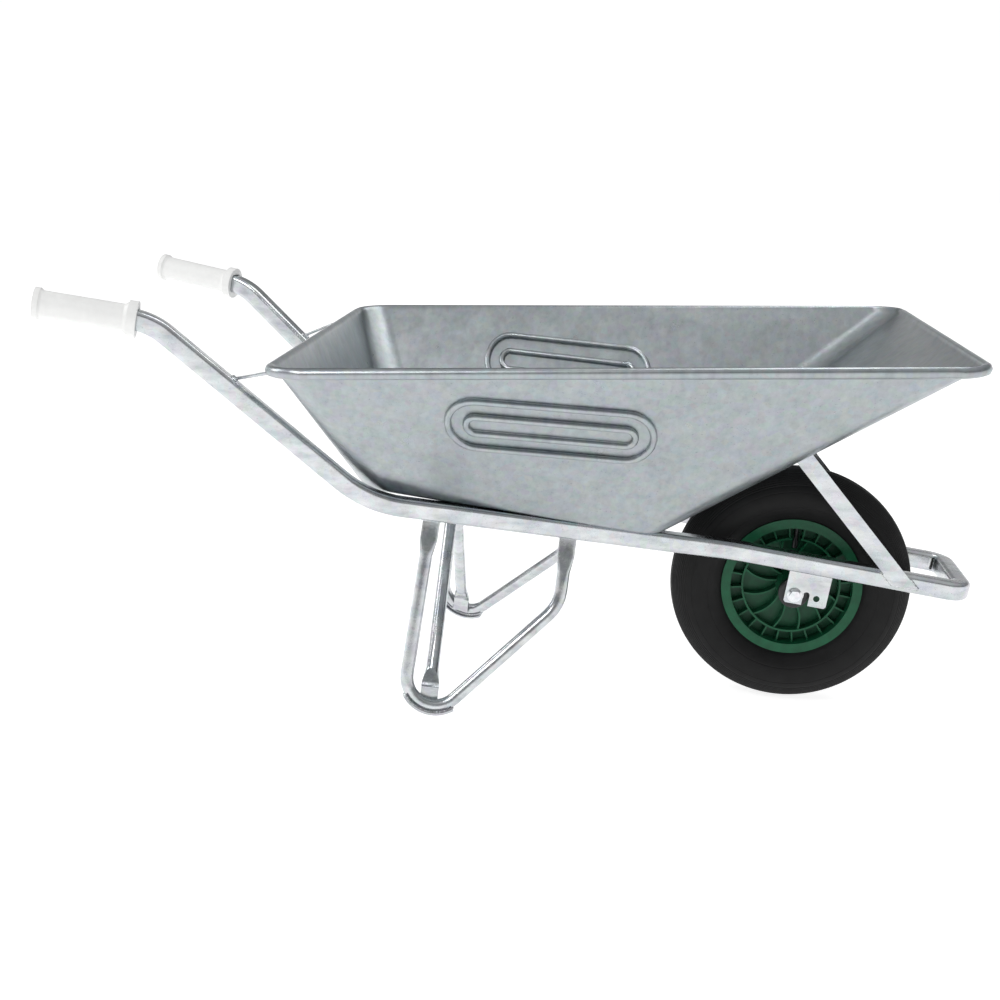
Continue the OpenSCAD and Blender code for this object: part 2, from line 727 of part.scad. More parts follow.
// Flat bar from the outside of a rail up to the front wall, with a tab bent inwards along the wall
module front_strut() {
  difference() {
    on_frame() translate([strut_ahead, strut_y, 0]) rotate([0, -180 + strut_angle, 0])
      translate([-60, 0, -strut_w / 2]) cube([strut_reach + 120, strut_t, strut_w]);
    on_frame() translate([0, strut_y - 1, -tube_h / 6 - 100]) cube([400, strut_t + 2, 100]);
    on_front_wall() translate([-200, strut_y - 1, -200]) cube([600, strut_t + 2, 200]);
  }
  difference() {
    on_front_wall() translate([strut_down - strut_w / 2, strut_y - strut_tab, 0])
      cube([strut_w, strut_tab + strut_t, strut_t]);
    at_strut_bolts() translate([0, 0, -20]) cylinder(h = 40, d = tray_bolt_d + 2 * bolt_clearance);
  }
}

module left_front_strut() {
  color(steel) front_strut();
}

module right_front_strut() {
  color(steel) on_right() front_strut();
}

// Rod from the top of a handle to the underside of the rim's rear corner
module tray_stay() {
  difference() {
    on_frame() translate(stay_foot)
      rotate([0, acos(stay_go[2] / stay_len), atan2(stay_go[1], stay_go[0])])
      translate([0, 0, -6]) cylinder(h = stay_len + 6, d = stay_d);
    on_rail(rail_run) rotate([0, handle_angle, 0]) translate([-handle_run, 0, 0])
      tube_straight(handle_run, 0);
    rim_corner_ring();
  }
}

// The bead where it goes round the rear left corner
module rim_corner_ring() {
  on_rim() translate([rim_r, rim_y_rear, -bead_r]) rotate([0, 0, 80])
    rotate_extrude(angle = 110) translate([bead_path_r, 0]) circle(r = bead_r);
}

module left_tray_stay() {
  color(steel) tray_stay();
}

module right_tray_stay() {
  color(steel) on_right() tray_stay();
}

module axle_bracket() {
  top = rail_rise * cos(frame_tilt) - tube_h / 2;
  chamfer = 3;
  slot_top = 3;
  difference() {
    on_bracket() translate([0, bracket_out, 0]) rotate([90, 0, 0]) linear_extrude(height = bracket_t)
      polygon([
        [-bracket_back, top], [-bracket_back, chamfer - bracket_drop],
        [chamfer - bracket_back, -bracket_drop], [bracket_front - chamfer, -bracket_drop],
        [bracket_front, chamfer - bracket_drop], [bracket_front, top]
      ]);
    on_bracket() along_axle(bracket_in - 1, bracket_out + 1, bolt_hole_r);
    on_bracket() translate([slot_ahead, 0, slot_top])
      along_axle(bracket_in - 1, bracket_out + 1, slot_w / 2);
    on_bracket() translate([slot_ahead - slot_w / 2, bracket_in - 1, -bracket_drop - 1])
      cube([slot_w, bracket_t + 2, bracket_drop + 1 + slot_top]);
    on_bracket() translate([spare_ahead, 0, 0]) along_axle(bracket_in - 1, bracket_out + 1, spare_d / 2);
  }
}

module left_axle_bracket() {
  color(steel) axle_bracket();
}

module right_axle_bracket() {
  color(steel) on_right() axle_bracket();
}

// Moulded grip, closed at its rear end, round the outside of the tube
module grip() {
  bore = grip_len - end_wall;
  difference() {
    on_wrist() translate([-grip_offset, 0, 0]) rotate([0, -90, 0]) {
      cylinder(h = grip_len - 2, d = grip_d);
      cylinder(h = collar_len, d = collar_d);
      translate([0, 0, collar_len]) cylinder(h = 6, d1 = collar_d - 4, d2 = grip_d);
      translate([0, 0, grip_len - end_ring_len]) cylinder(h = end_ring_len, d = end_ring_d);
      translate([0, 0, grip_len - end_ring_len - 4]) cylinder(h = 4, d1 = grip_d, d2 = end_ring_d - 1);
    }
    on_wrist() translate([-grip_offset - bore, 0, 0]) tube_straight(bore + 1, -grip_clearance);
    on_wrist() translate([-grip_offset - mouth_relief_len, 0, 0])
      tube_straight(mouth_relief_len + 1, -mouth_relief);
  }
}

module left_grip() {
  color("whitesmoke") grip();
}

module right_grip() {
  color("whitesmoke") on_right() grip();
}

// The pressed sheet, with its edge curled outwards and under
// Outer and inner faces of the sheet, joined round the edge of the curl
module tray_sheet() {
  edge = edge_turn / 3;
  outside = [
    for (t = [0 : edge : edge_turn - eps]) edge_ring(t, 0),
    for (k = [0 : wall_steps]) wall_ring(k / wall_steps, 0),
    for (t = [180 - curl_step : -curl_step : -135]) curl_ring(t, bead_r - sheet)
  ];
  inside = [
    for (t = [0 : edge : edge_turn - eps]) edge_ring(t, sheet),
    for (k = [0 : wall_steps]) wall_ring(k / wall_steps, sheet),
    for (t = [180 - curl_step : -curl_step : -135]) curl_ring(t, bead_r)
  ];
  shell(outside, inside);
}

module tray() {
  color(steel) difference() {
    on_frame() tray_sheet();
    tray_bolt_holes();
    at_strut_bolts() translate([0, 0, -20]) cylinder(h = 40, d = tray_bolt_d + 2 * bolt_clearance);
  }
}

// Domed coach bolt through the tray, with its head on the inside and its shank along +Z
module coach_bolt(shank) {
  head_ball = 11;
  head_sunk = 6;
  intersection() {
    translate([0, 0, head_sunk - sheet]) sphere(r = head_ball);
    translate([-head_ball, -head_ball, -sheet - head_ball]) cube([2 * head_ball, 2 * head_ball, head_ball]);
  }
  translate([0, 0, -sheet]) cylinder(h = sheet + shank, d = tray_bolt_d);
}

module tray_washer() {
  difference() {
    cylinder(h = tray_washer_t, d = tray_washer_d);
    translate([0, 0, -1]) cylinder(h = tray_washer_t + 2, d = tray_bolt_d + 2 * bolt_clearance);
  }
}

module tray_nut() {
  difference() {
    cylinder(h = tray_nut_h, d = tray_nut_af / cos(30), $fn = hex_fn);
    translate([0, 0, -1]) cylinder(h = tray_nut_h + 2, d = tray_bolt_d + 2 * seat_clearance);
  }
}

module floor_bolts() {
  color(steel) at_tray_bolts() rotate([180, 0, 0]) coach_bolt(cross_d + tray_stack);
}

module floor_washers() {
  color(steel) at_tray_bolts() rotate([180, 0, 0]) translate([0, 0, cross_d]) tray_washer();
}

module floor_nuts() {
  color(steel) at_tray_bolts() rotate([180, 0, 0]) translate([0, 0, cross_d + tray_washer_t]) tray_nut();
}

module strut_bolts() {
  color(steel) at_strut_bolts() coach_bolt(strut_t + tray_stack);
}

module strut_washers() {
  color(steel) at_strut_bolts() translate([0, 0, strut_t]) tray_washer();
}

module strut_nuts() {
  color(steel) at_strut_bolts() translate([0, 0, strut_t + tray_washer_t]) tray_nut();
}

// Flanged hexagon head or nut along the axle, outwards from a bracket
module flanged_hex(height) {
  rotate([-90, 0, 0]) {
    cylinder(h = 2, d = head_flange_d);
    translate([0, 0, 2]) cylinder(h = 2, d1 = head_flange_d, d2 = head_af);
    cylinder(h = height, d = head_af / cos(30), $fn = hex_fn);
  }
}

module axle_bolt() {
  color(steel) on_axle() {
    along_axle(-bracket_out, bracket_out + nut_h + 3, bolt_r);
    on_right() translate([0, bracket_out, 0]) flanged_hex(head_h);
  }
}

module axle_nut() {
  color(steel) on_axle() difference() {
    translate([0, bracket_out, 0]) flanged_hex(nut_h);
    along_axle(bracket_out - 1, bracket_out + nut_h + 1, bolt_r + seat_clearance);
  }
}

module axle_sleeve() {
  color(steel) on_axle() difference() {
    along_axle(-sleeve_end, sleeve_end, sleeve_r);
    along_axle(-sleeve_end - 1, sleeve_end + 1, bolt_hole_r);
  }
}

module axle_washers() {
  color(steel) on_axle() {
    axle_washer();
    on_right() axle_washer();
  }
}

module axle_washer() {
  difference() {
    along_axle(sleeve_end, bracket_in, bush_d / 2);
    along_axle(sleeve_end - 1, bracket_in + 1, bolt_hole_r);
  }
}

module hub_bush() {
  difference() {
    union() {
      along_axle(hub_len / 2 - bush_len, hub_len / 2, bush_d / 2);
      along_axle(hub_len / 2, flange_end, bush_d / 2 + 3);
    }
    along_axle(hub_len / 2 - bush_len - 1, flange_end + 1, bush_bore_r);
  }
}

module left_hub_bush() {
  color("dimgray") on_axle() hub_bush();
}

module right_hub_bush() {
  color("dimgray") on_axle() on_right() hub_bush();
}

module dust_cap() {
  difference() {
    union() {
      along_axle(hub_len / 2, cap_end - 2, hub_r);
      translate([0, cap_end - 2, 0]) rotate([-90, 0, 0]) cylinder(h = 2, r1 = hub_r, r2 = hub_r - 3);
    }
    along_axle(hub_len / 2 - 1, flange_end, bush_d / 2 + 3 + seat_clearance);
    along_axle(hub_len / 2 - 1, cap_end + 1, sleeve_r + 0.8);
  }
}

module left_dust_cap() {
  color("black") on_axle() dust_cap();
}

module right_dust_cap() {
  color("black") on_axle() on_right() dust_cap();
}

// Rim barrel with its two flanges, revolved from its section
module rim_barrel() {
  half = flange_span / 2;
  rotate([90, 0, 0]) rotate_extrude() polygon([
    [barrel_in, -half], [flange_d / 2, -half], [flange_d / 2, -bead_in], [barrel_r, -bead_in],
    [barrel_r, bead_in], [flange_d / 2, bead_in], [flange_d / 2, half], [barrel_in, half]
  ]);
}

// Hub barrel, the ring inside the windows, and the web behind them, revolved from their section
module rim_centre() {
  end = hub_len / 2;
  web_r = barrel_in + 1;
  rotate([90, 0, 0]) rotate_extrude() polygon([
    [bush_d / 2, -end], [hub_r, -end], [hub_r, -web_half], [ring_in, -web_half], [ring_in, -ring_half],
    [centre_r, -ring_half], [centre_r, -web_half], [web_r, -web_half], [web_r, web_half],
    [centre_r, web_half], [centre_r, ring_half], [ring_in, ring_half], [ring_in, web_half],
    [hub_r, web_half], [hub_r, end], [bush_d / 2, end]
  ]);
}

module rim_ribs() {
  pitch = 360 / windows;
  for (i = [0 : windows - 1]) rotate([0, pitch / 2 - 90 + i * pitch, 0])
    translate([centre_r - 1, -fin_half, -rib_t / 2]) cube([barrel_in - centre_r + 2, 2 * fin_half, rib_t]);
}

// Curved fin on both faces of the web
module rim_fin() {
  chord = (ring_in - hub_r) / 2;
  intersection() {
    translate([hub_r + chord, 0, -sqrt(fin_r * fin_r - chord * chord)]) difference() {
      along_axle(-fin_half, fin_half, fin_r + rib_t / 2);
      along_axle(-fin_half - 1, fin_half + 1, fin_r - rib_t / 2);
    }
    translate([hub_r - 1, -fin_half, -20]) cube([ring_in - hub_r + 2, 2 * fin_half, 60]);
  }
}

module wheel_rim() {
  color("seagreen") on_axle() difference() {
    union() {
      rim_barrel();
      rim_centre();
      rim_ribs();
      for (i = [0 : fins - 1]) rotate([0, 180 / fins - 90 + i * 360 / fins, 0]) rim_fin();
    }
    translate([0, -valve_side, barrel_in - 5]) cylinder(h = 20, r = valve_d / 2 + 0.5 + seat_clearance);
    translate([-valve_d, -ring_half - 1, ring_in - 1])
      cube([2 * valve_d, ring_half + 1 - web_half - 1, 5]);
  }
}

module tyre() {
  foot_in = 17.5;
  bead = barrel_r + seat_clearance;
  color("dimgray") on_axle() rotate([90, 0, 0]) rotate_extrude() difference() {
    union() {
      translate([section_at, 0]) circle(r = section_r);
      translate([bead, foot_in]) square([18, bead_in - seat_clearance - foot_in]);
      translate([bead, -bead_in + seat_clearance]) square([18, bead_in - seat_clearance - foot_in]);
    }
    translate([section_at, 0]) circle(r = section_r - tyre_wall);
    translate([0, -foot_in]) square([section_at, 2 * foot_in]);
    translate([0, -100]) square([bead, 200]);
    for (s = [-1, 1]) translate([0, s * flange_span / 2 - flange_t - seat_clearance])
      square([flange_d / 2 + seat_clearance, 2 * flange_t + 2 * seat_clearance]);
    for (y = [-24, -8, 8, 24]) translate([section_at + sqrt(section_r * section_r - y * y) - 2.5, y - 1.5])
      square([10, 3]);
  }
}

module inner_tube() {
  color("black") on_axle() rotate([90, 0, 0]) rotate_extrude() translate([section_at, 0]) difference() {
    circle(r = tube_out_r);
    circle(r = tube_out_r - 1.8);
  }
}

module valve_stem() {
  color("black") on_axle() translate([0, -valve_side, 0]) {
    translate([0, 0, barrel_in - 1]) cylinder(h = valve_top - barrel_in + 1, r = valve_d / 2 + 0.5);
    translate([0, 0, valve_tip + 3]) cylinder(h = barrel_in - valve_tip - 3, r = valve_d / 2);
  }
}

module valve_cap() {
  color("black") on_axle() translate([0, -valve_side, valve_tip]) difference() {
    cylinder(h = 12, r = valve_d / 2 + 1);
    translate([0, 0, 2.5]) cylinder(h = 12, r = valve_d / 2 + seat_clearance);
  }
}

main_frame();
rear_cross_member();
front_cross_member();
left_leg();
right_leg();
left_foot_plate();
right_foot_plate();
left_leg_brace();
right_leg_brace();
left_front_strut();
right_front_strut();
left_tray_stay();
right_tray_stay();
left_axle_bracket();
right_axle_bracket();
left_grip();
right_grip();
tray();
floor_bolts();
floor_washers();
floor_nuts();
strut_bolts();
strut_washers();
strut_nuts();
axle_bolt();
axle_nut();
axle_sleeve();
axle_washers();
left_hub_bush();
right_hub_bush();
left_dust_cap();
right_dust_cap();
wheel_rim();
tyre();
inner_tube();
valve_stem();
valve_cap();
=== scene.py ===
"""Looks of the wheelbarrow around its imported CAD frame. Metres, +X towards the wheel, +Z up."""

import json
import math
import random

import bpy
import mathutils.geometry
from mathutils import Matrix, Vector
from mathutils.bvhtree import BVHTree


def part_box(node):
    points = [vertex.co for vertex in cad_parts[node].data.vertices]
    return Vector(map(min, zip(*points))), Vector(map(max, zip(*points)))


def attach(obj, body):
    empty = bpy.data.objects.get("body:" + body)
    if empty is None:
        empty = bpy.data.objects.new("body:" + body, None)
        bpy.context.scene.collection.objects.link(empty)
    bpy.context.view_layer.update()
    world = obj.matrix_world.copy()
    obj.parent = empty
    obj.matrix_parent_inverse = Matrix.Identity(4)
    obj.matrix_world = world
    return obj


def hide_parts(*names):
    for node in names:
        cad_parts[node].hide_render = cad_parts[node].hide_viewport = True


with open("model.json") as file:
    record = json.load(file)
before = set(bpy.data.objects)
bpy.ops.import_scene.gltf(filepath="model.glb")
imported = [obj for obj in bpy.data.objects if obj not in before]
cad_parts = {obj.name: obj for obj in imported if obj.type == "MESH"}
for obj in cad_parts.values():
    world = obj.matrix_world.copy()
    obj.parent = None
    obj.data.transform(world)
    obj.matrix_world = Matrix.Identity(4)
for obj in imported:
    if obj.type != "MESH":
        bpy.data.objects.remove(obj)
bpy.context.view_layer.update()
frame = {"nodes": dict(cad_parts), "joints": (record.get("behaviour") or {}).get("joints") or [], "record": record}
record = frame["record"]
nodes = frame["nodes"]

# ---------------------------------------------------------------- sizes read from the frame
axle = Vector(frame["joints"][0]["pos_m"])
tyre_lo, tyre_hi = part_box("tyre")
TYRE_R = (tyre_hi.z - tyre_lo.z) / 2
TYRE_HALF = (tyre_hi.y - tyre_lo.y) / 2


# ---------------------------------------------------------------- materials
def fill_ramp(node, stops):
    """Sets a colour ramp's stops, given in order as (position, colour)."""
    elements = node.color_ramp.elements
    for element, (at, colour) in zip((elements[0], elements[-1]), (stops[0], stops[-1])):
        element.position, element.color = at, (*colour, 1)
    for at, colour in stops[1:-1]:
        elements.new(at).color = (*colour, 1)


class Mat:
    """A small helper that wires procedural shader nodes."""

    def __init__(self, name):
        self.mat = bpy.data.materials.new(name)
        self.mat.use_nodes = True
        self.tree = self.mat.node_tree
        self.bsdf = self.tree.nodes["Principled BSDF"]
        self.coord = self.tree.nodes.new("ShaderNodeTexCoord")

    def set(self, **values):
        """Sets sockets that are the same all over the surface."""
        for key, value in values.items():
            self.bsdf.inputs[key.replace("_", " ")].default_value = value
        return self

    def link(self, out, socket):
        """Drives a shader socket from a node's output."""
        self.tree.links.new(out, self.bsdf.inputs[socket])

    def mapping(self, scale):
        """Object coordinates stretched along each axis, for streaks."""
        m = self.tree.nodes.new("ShaderNodeMapping")
        m.inputs["Scale"].default_value = scale
        self.tree.links.new(self.coord.outputs["Object"], m.inputs["Vector"])
        return m.outputs["Vector"]

    def noise(self, scale, detail, rough, vector=None):
        n = self.tree.nodes.new("ShaderNodeTexNoise")
        n.inputs["Scale"].default_value = scale
        n.inputs["Detail"].default_value = detail
        n.inputs["Roughness"].default_value = rough
        self.tree.links.new(vector or self.coord.outputs["Object"], n.inputs["Vector"])
        return n.outputs["Fac"]

    def grains(self, scale):
        """Cells of random colour, the spangle of hot-dip zinc."""
        n = self.tree.nodes.new("ShaderNodeTexVoronoi")
        n.inputs["Scale"].default_value = scale
        self.tree.links.new(self.coord.outputs["Object"], n.inputs["Vector"])
        return n.outputs["Color"]

    def ramp(self, fac, stops):
        """Colour from a value through stops of (position, colour)."""
        r = self.tree.nodes.new("ShaderNodeValToRGB")
        fill_ramp(r, stops)
        self.tree.links.new(fac, r.inputs["Fac"])
        return r.outputs["Color"]

    def remap(self, fac, low, high, to_low, to_high):
        m = self.tree.nodes.new("ShaderNodeMapRange")
        ends = {"From Min": low, "From Max": high, "To Min": to_low, "To Max": to_high}
        for key, value in ends.items():
            m.inputs[key].default_value = value
        self.tree.links.new(fac, m.inputs["Value"])
        return m.outputs["Result"]

    def mix(self, a, b, fac, blend="MIX"):
        """Mixes two colours; each input is a node's output, a number or a colour."""
        m = self.tree.nodes.new("ShaderNodeMix")
        m.data_type = "RGBA"
        m.blend_type = blend
        factor, first, second = m.inputs[0], m.inputs[6], m.inputs[7]
        for value, socket in ((fac, factor), (a, first), (b, second)):
            if isinstance(value, bpy.types.NodeSocket):
                self.tree.links.new(value, socket)
            elif isinstance(value, (int, float)):
                socket.default_value = value
            else:
                socket.default_value = (*value, 1)
        return m.outputs[2]

    def math(self, op, a, b):
        m = self.tree.nodes.new("ShaderNodeMath")
        m.operation = op
        for value, socket in ((a, m.inputs[0]), (b, m.inputs[1])):
            if isinstance(value, bpy.types.NodeSocket):
                self.tree.links.new(value, socket)
            else:
                socket.default_value = value
        return m.outputs[0]

    def bump(self, height, strength, distance):
        """Finishes the material with a small relief."""
        b = self.tree.nodes.new("ShaderNodeBump")
        b.inputs["Strength"].default_value = strength
        b.inputs["Distance"].default_value = distance
        self.tree.links.new(height, b.inputs["Height"])
        self.link(b.outputs["Normal"], "Normal")
        return self


SPANGLE = 90
ZINC_RELIEF = 0.0012
PLASTIC_RELIEF = 0.0005


def galvanised(name, base, dark, light, streak, rough, dents):
    """Zinc-coated steel: cloudy patches, a faint spangle, streaks and small dark specks."""
    m = Mat(name).set(Metallic=1.0)
    clouds = m.noise(17, 5, 0.62)
    streaks = m.noise(1, 5, 0.62, m.mapping(streak))
    grains = m.grains(SPANGLE)
    tone = m.mix(m.ramp(clouds, [(0.3, dark), (0.52, base), (0.75, light)]),
                 m.ramp(streaks, [(0.32, dark), (0.5, base), (0.7, light)]), 0.55)
    tone = m.mix(tone, grains, 0.045, "OVERLAY")
    specks = m.remap(m.noise(330, 2, 0.6), 0.66, 0.74, 0.0, 1.0)
    tone = m.mix(tone, tuple(c * 0.45 for c in dark), m.math("MULTIPLY", specks, 0.5))
    m.link(tone, "Base Color")
    m.link(m.remap(m.noise(24, 4, 0.65), 0.3, 0.75, *rough), "Roughness")
    uneven = m.math("ADD", m.noise(38, 3, 0.5), m.math("MULTIPLY", m.noise(230, 2, 0.5), 0.25))
    return m.bump(uneven, dents, ZINC_RELIEF).mat


def plastic(name, colour, rough, mottling=0.12, bump=0.05, scale=60, shine=0.5):
    """Moulded plastic or rubber: a slightly uneven colour and a fine grain."""
    m = Mat(name).set(Metallic=0.0, IOR=1.48, Specular_IOR_Level=shine)
    shade = m.noise(scale, 3, 0.6)
    low = tuple(c * (1 - mottling) for c in colour)
    high = tuple(min(1, c * (1 + mottling)) for c in colour)
    m.link(m.ramp(shade, [(0.3, low), (0.7, high)]), "Base Color")
    m.link(m.remap(m.noise(scale * 2, 3, 0.6), 0.3, 0.7, rough * 0.85, rough * 1.15), "Roughness")
    return m.bump(m.noise(scale * 8, 2, 0.5), bump, PLASTIC_RELIEF).mat


MATS = {
    "tray_steel": galvanised("tray_zinc", (0.365, 0.395, 0.41), (0.30, 0.33, 0.345),
                             (0.43, 0.46, 0.475), streak=(95, 95, 9), rough=(0.27, 0.42), dents=0.12),
    "frame_steel": galvanised("frame_zinc", (0.55, 0.57, 0.585), (0.36, 0.385, 0.41),
                              (0.70, 0.72, 0.735), streak=(14, 60, 60), rough=(0.16, 0.34), dents=0.25),
    "fastener": galvanised("bolt_zinc", (0.72, 0.73, 0.75), (0.55, 0.57, 0.60), (0.85, 0.86, 0.87),
                           streak=(90, 90, 90), rough=(0.14, 0.28), dents=0.06),
    "grip": plastic("grip_pvc", (0.76, 0.76, 0.75), 0.45, 0.03, 0.05),
    "rim_plastic": plastic("rim_green", (0.005, 0.085, 0.036), 0.36, 0.22, 0.06, shine=0.3),
    "tyre": plastic("tyre_rubber", (0.006, 0.006, 0.0062), 0.55, 0.3, 0.12, 45, shine=0.22),
    "inner_tube": plastic("tube_rubber", (0.008, 0.008, 0.008), 0.6, 0.2),
    "black_plastic": plastic("black_plastic", (0.008, 0.0085, 0.009), 0.3, 0.2),
    "bush_plastic": plastic("bush_plastic", (0.02, 0.02, 0.022), 0.4, 0.15),
}
WELD = galvanised("weld_zinc", (0.60, 0.62, 0.64), (0.34, 0.36, 0.38), (0.86, 0.87, 0.88),
                  streak=(160, 160, 160), rough=(0.2, 0.42), dents=0.5)


# ---------------------------------------------------------------- CAD nodes: smooth faces, crisp edges
JOIN_WITHIN = 0.00002
AREA_WEIGHT = 80
CRISP_ANGLE = 34
CURL_ANGLE = 52


def soften(obj, angle):
    """Shades a CAD node smoothly up to an edge angle. Its points stay where they are."""
    custom = obj.data.attributes.get("custom_normal")
    if custom:
        obj.data.attributes.remove(custom)
    obj.data.polygons.foreach_set("use_smooth", [True] * len(obj.data.polygons))
    weld = obj.modifiers.new("join_points", "WELD")
    weld.merge_threshold = JOIN_WITHIN
    split = obj.modifiers.new("crisp_edges", "EDGE_SPLIT")
    split.split_angle = math.radians(angle)
    split.use_edge_sharp = False
    obj.modifiers.new("flat_faces", "WEIGHTED_NORMAL").weight = AREA_WEIGHT


slot_of = {s["node"]: s["material_slot"] for s in record["subparts"]}
for name, obj in nodes.items():
    obj.data.materials.clear()
    obj.data.materials.append(MATS[slot_of[name]])
    soften(obj, CURL_ANGLE if name == "tray" else CRISP_ANGLE)


# ---------------------------------------------------------------- helpers for new pieces
def piece(name, verts, faces, mat, body, smooth=True):
    """A new mesh piece that rides on a body."""
    mesh = bpy.data.meshes.new(name)
    mesh.from_pydata([tuple(v) for v in verts], [], faces)
    mesh.polygons.foreach_set("use_smooth", [smooth] * len(mesh.polygons))
    mesh.materials.append(mat)
    mesh.update()
    obj = bpy.data.objects.new(name, mesh)
    bpy.context.scene.collection.objects.link(obj)
    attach(obj, body)
    return obj


def tube(path, radius, sides=8):
    """Points and faces of a tube round a loop; radius is a function of the point's number."""
    count = len(path)
    verts, faces = [], []
    for i, p in enumerate(path):
        go = (path[(i + 1) % count] - path[i - 1]).normalized()
        side = go.cross(Vector((0, 0, 1)) if abs(go.z) < 0.9 else Vector((1, 0, 0))).normalized()
        over = side.cross(go)
        for k in range(sides):
            t = 2 * math.pi * k / sides
            verts.append(p + radius(i) * (math.cos(t) * side + math.sin(t) * over))
    for i in range(count):
        for k in range(sides):
            a, b = i * sides + k, i * sides + (k + 1) % sides
            j = ((i + 1) % count) * sides
            faces.append((a, b, j + (k + 1) % sides, j + k))
    return verts, faces


def along(loop, step):
    """The same loop in equal steps."""
    out = []
    for a, b in zip(loop, loop[1:] + loop[:1]):
        n = max(1, round((b - a).length / step))
        out += [a.lerp(b, i / n) for i in range(n)]
    return out


def surface(node):
    """A lookup tree over a CAD node's surface."""
    mesh = nodes[node].data
    return BVHTree.FromPolygons([v.co for v in mesh.vertices], [tuple(p.vertices) for p in mesh.polygons])


# ---------------------------------------------------------------- weld beads where tubes and bars meet
WELD_R = 0.0029
WELD_STEP = 0.002
CONTACT = 0.0009
SAMPLE_STEP = 0.003
MOST_SAMPLES = 60
SAME_PATCH = 0.012
rng = random.Random(5)


def contact_points(part, other):
    """Points on a node's edges that touch another node, with the other's normals there."""
    tree = surface(other)
    mesh = nodes[part].data
    found = []
    for edge in mesh.edges:
        a, b = (mesh.vertices[i].co for i in edge.vertices)
        n = max(1, min(MOST_SAMPLES, int((b - a).length / SAMPLE_STEP)))
        for i in range(n + 1):
            p = a.lerp(b, i / n)
            hit = tree.find_nearest(p, CONTACT)
            if hit[0] is not None:
                found.append((p, hit[1]))
    return found


def contact_loops(part, other):
    """Outlines of the patches where a node touches another."""
    groups = []
    for p, normal in contact_points(part, other):
        near = [g for g in groups if any((p - q).length < SAME_PATCH for q, _ in g)]
        merged = [(p, normal)] + [item for g in near for item in g]
        groups = [g for g in groups if g not in near] + [merged]
    loops = []
    for group in groups:
        if len(group) < 6:
            continue
        middle = sum((p for p, _ in group), Vector()) / len(group)
        facing = sum((n for _, n in group), Vector()).normalized()
        u = facing.orthogonal().normalized()
        v = facing.cross(u)
        flat = [((p - middle).dot(u), (p - middle).dot(v)) for p, _ in group]
        outline = [group[i][0] for i in mathutils.geometry.convex_hull_2d(flat)]
        if len(outline) > 3:
            loops.append(outline)
    return loops


WELDS = [
    ("left_leg", "main_frame"), ("right_leg", "main_frame"),
    ("left_leg_brace", "left_leg"), ("right_leg_brace", "right_leg"),
    ("left_leg_brace", "rear_cross_member"), ("right_leg_brace", "rear_cross_member"),
    ("left_front_strut", "main_frame"), ("right_front_strut", "main_frame"),
    ("left_axle_bracket", "main_frame"), ("right_axle_bracket", "main_frame"),
    ("rear_cross_member", "main_frame"), ("front_cross_member", "main_frame"),
    ("left_tray_stay", "main_frame"), ("right_tray_stay", "main_frame"),
    ("left_foot_plate", "left_leg"), ("right_foot_plate", "right_leg"),
]
for part, other in WELDS:
    for k, loop in enumerate(contact_loops(part, other)):
        path = along(loop, WELD_STEP)
        ripple = [WELD_R * (0.85 + 0.2 * math.sin(i * 2.1) + 0.25 * rng.random())
                  for i in range(len(path))]
        verts, faces = tube(path, ripple.__getitem__)
        piece(f"weld_{part}_{other}_{k}", verts, faces, WELD, "barrow")


# ---------------------------------------------------------------- pressed swages in the tray's sides
SWAGE_R = 0.005
SWAGE_PROUD = 0.0014
SWAGE_STEP = 0.004
SWAGE_Z = 0.468
SWAGE_FROM = axle.x - 0.50
SWAGE_TO = axle.x - 0.29
SWAGE_SLOPE = -0.02
SWAGE_HALVES = (0.040, 0.014)
BESIDE_TRAY = 0.6




def stadium(half):
    """A long rounded outline in the XZ plane, as (x, z)."""
    steps = 12
    outline = []
    for end, start in ((SWAGE_TO, -90), (SWAGE_FROM, 90)):
        for i in range(steps + 1):
            t = math.radians(start + 180 * i / steps)
            x = end + half * math.cos(t)
            fall = SWAGE_SLOPE * (x - (SWAGE_FROM + SWAGE_TO) / 2)
            outline.append((x, SWAGE_Z + half * math.sin(t) + fall))
    return outline


def on_tray(outline, start, look):
    """The outline laid on the tray wall that is met from y = start, looking along Y."""
    laid = []
    for x, z in outline:
        place, normal, _, _ = tray_surface.ray_cast(Vector((x, start, z)), Vector((0, look, 0)))
        out = normal if normal.y * look < 0 else -normal
        laid.append(place - out * (SWAGE_R - SWAGE_PROUD))
    return laid


tray_surface = surface("tray")
for side, sign in (("left", 1), ("right", -1)):
    for face, start, look in (("outer", sign * BESIDE_TRAY, -sign), ("inner", 0.0, sign)):
        for k, half in enumerate(SWAGE_HALVES):
            path = along(on_tray(stadium(half), start, look), SWAGE_STEP)
            verts, faces = tube(path, lambda i: SWAGE_R)
            name = f"swage_{side}_{face}_{k}"
            piece(name, verts, faces, MATS["tray_steel"], "barrow")


# ---------------------------------------------------------------- tyre with its fine ribs
def lathe(name, profile, steps, mat, body):
    """Turns a closed (radius, y) profile round the axle."""
    n = len(profile)
    verts, faces = [], []
    for i in range(steps):
        t = 2 * math.pi * i / steps
        verts += [(axle.x + r * math.cos(t), y, axle.z + r * math.sin(t)) for r, y in profile]
        j = ((i + 1) % steps) * n
        faces += [(i * n + k, i * n + (k + 1) % n, j + (k + 1) % n, j + k) for k in range(n)]
    return piece(name, verts, faces, mat, body)


TREAD_EDGE = 16
SHOULDER_EDGE = 62
GROOVE_AT = 8
GROOVE_HALF = 1.2
RIB_PITCH = 4.6
SIDE_LINES = ((72, 74), (104, 107))
SECTION_END = 132


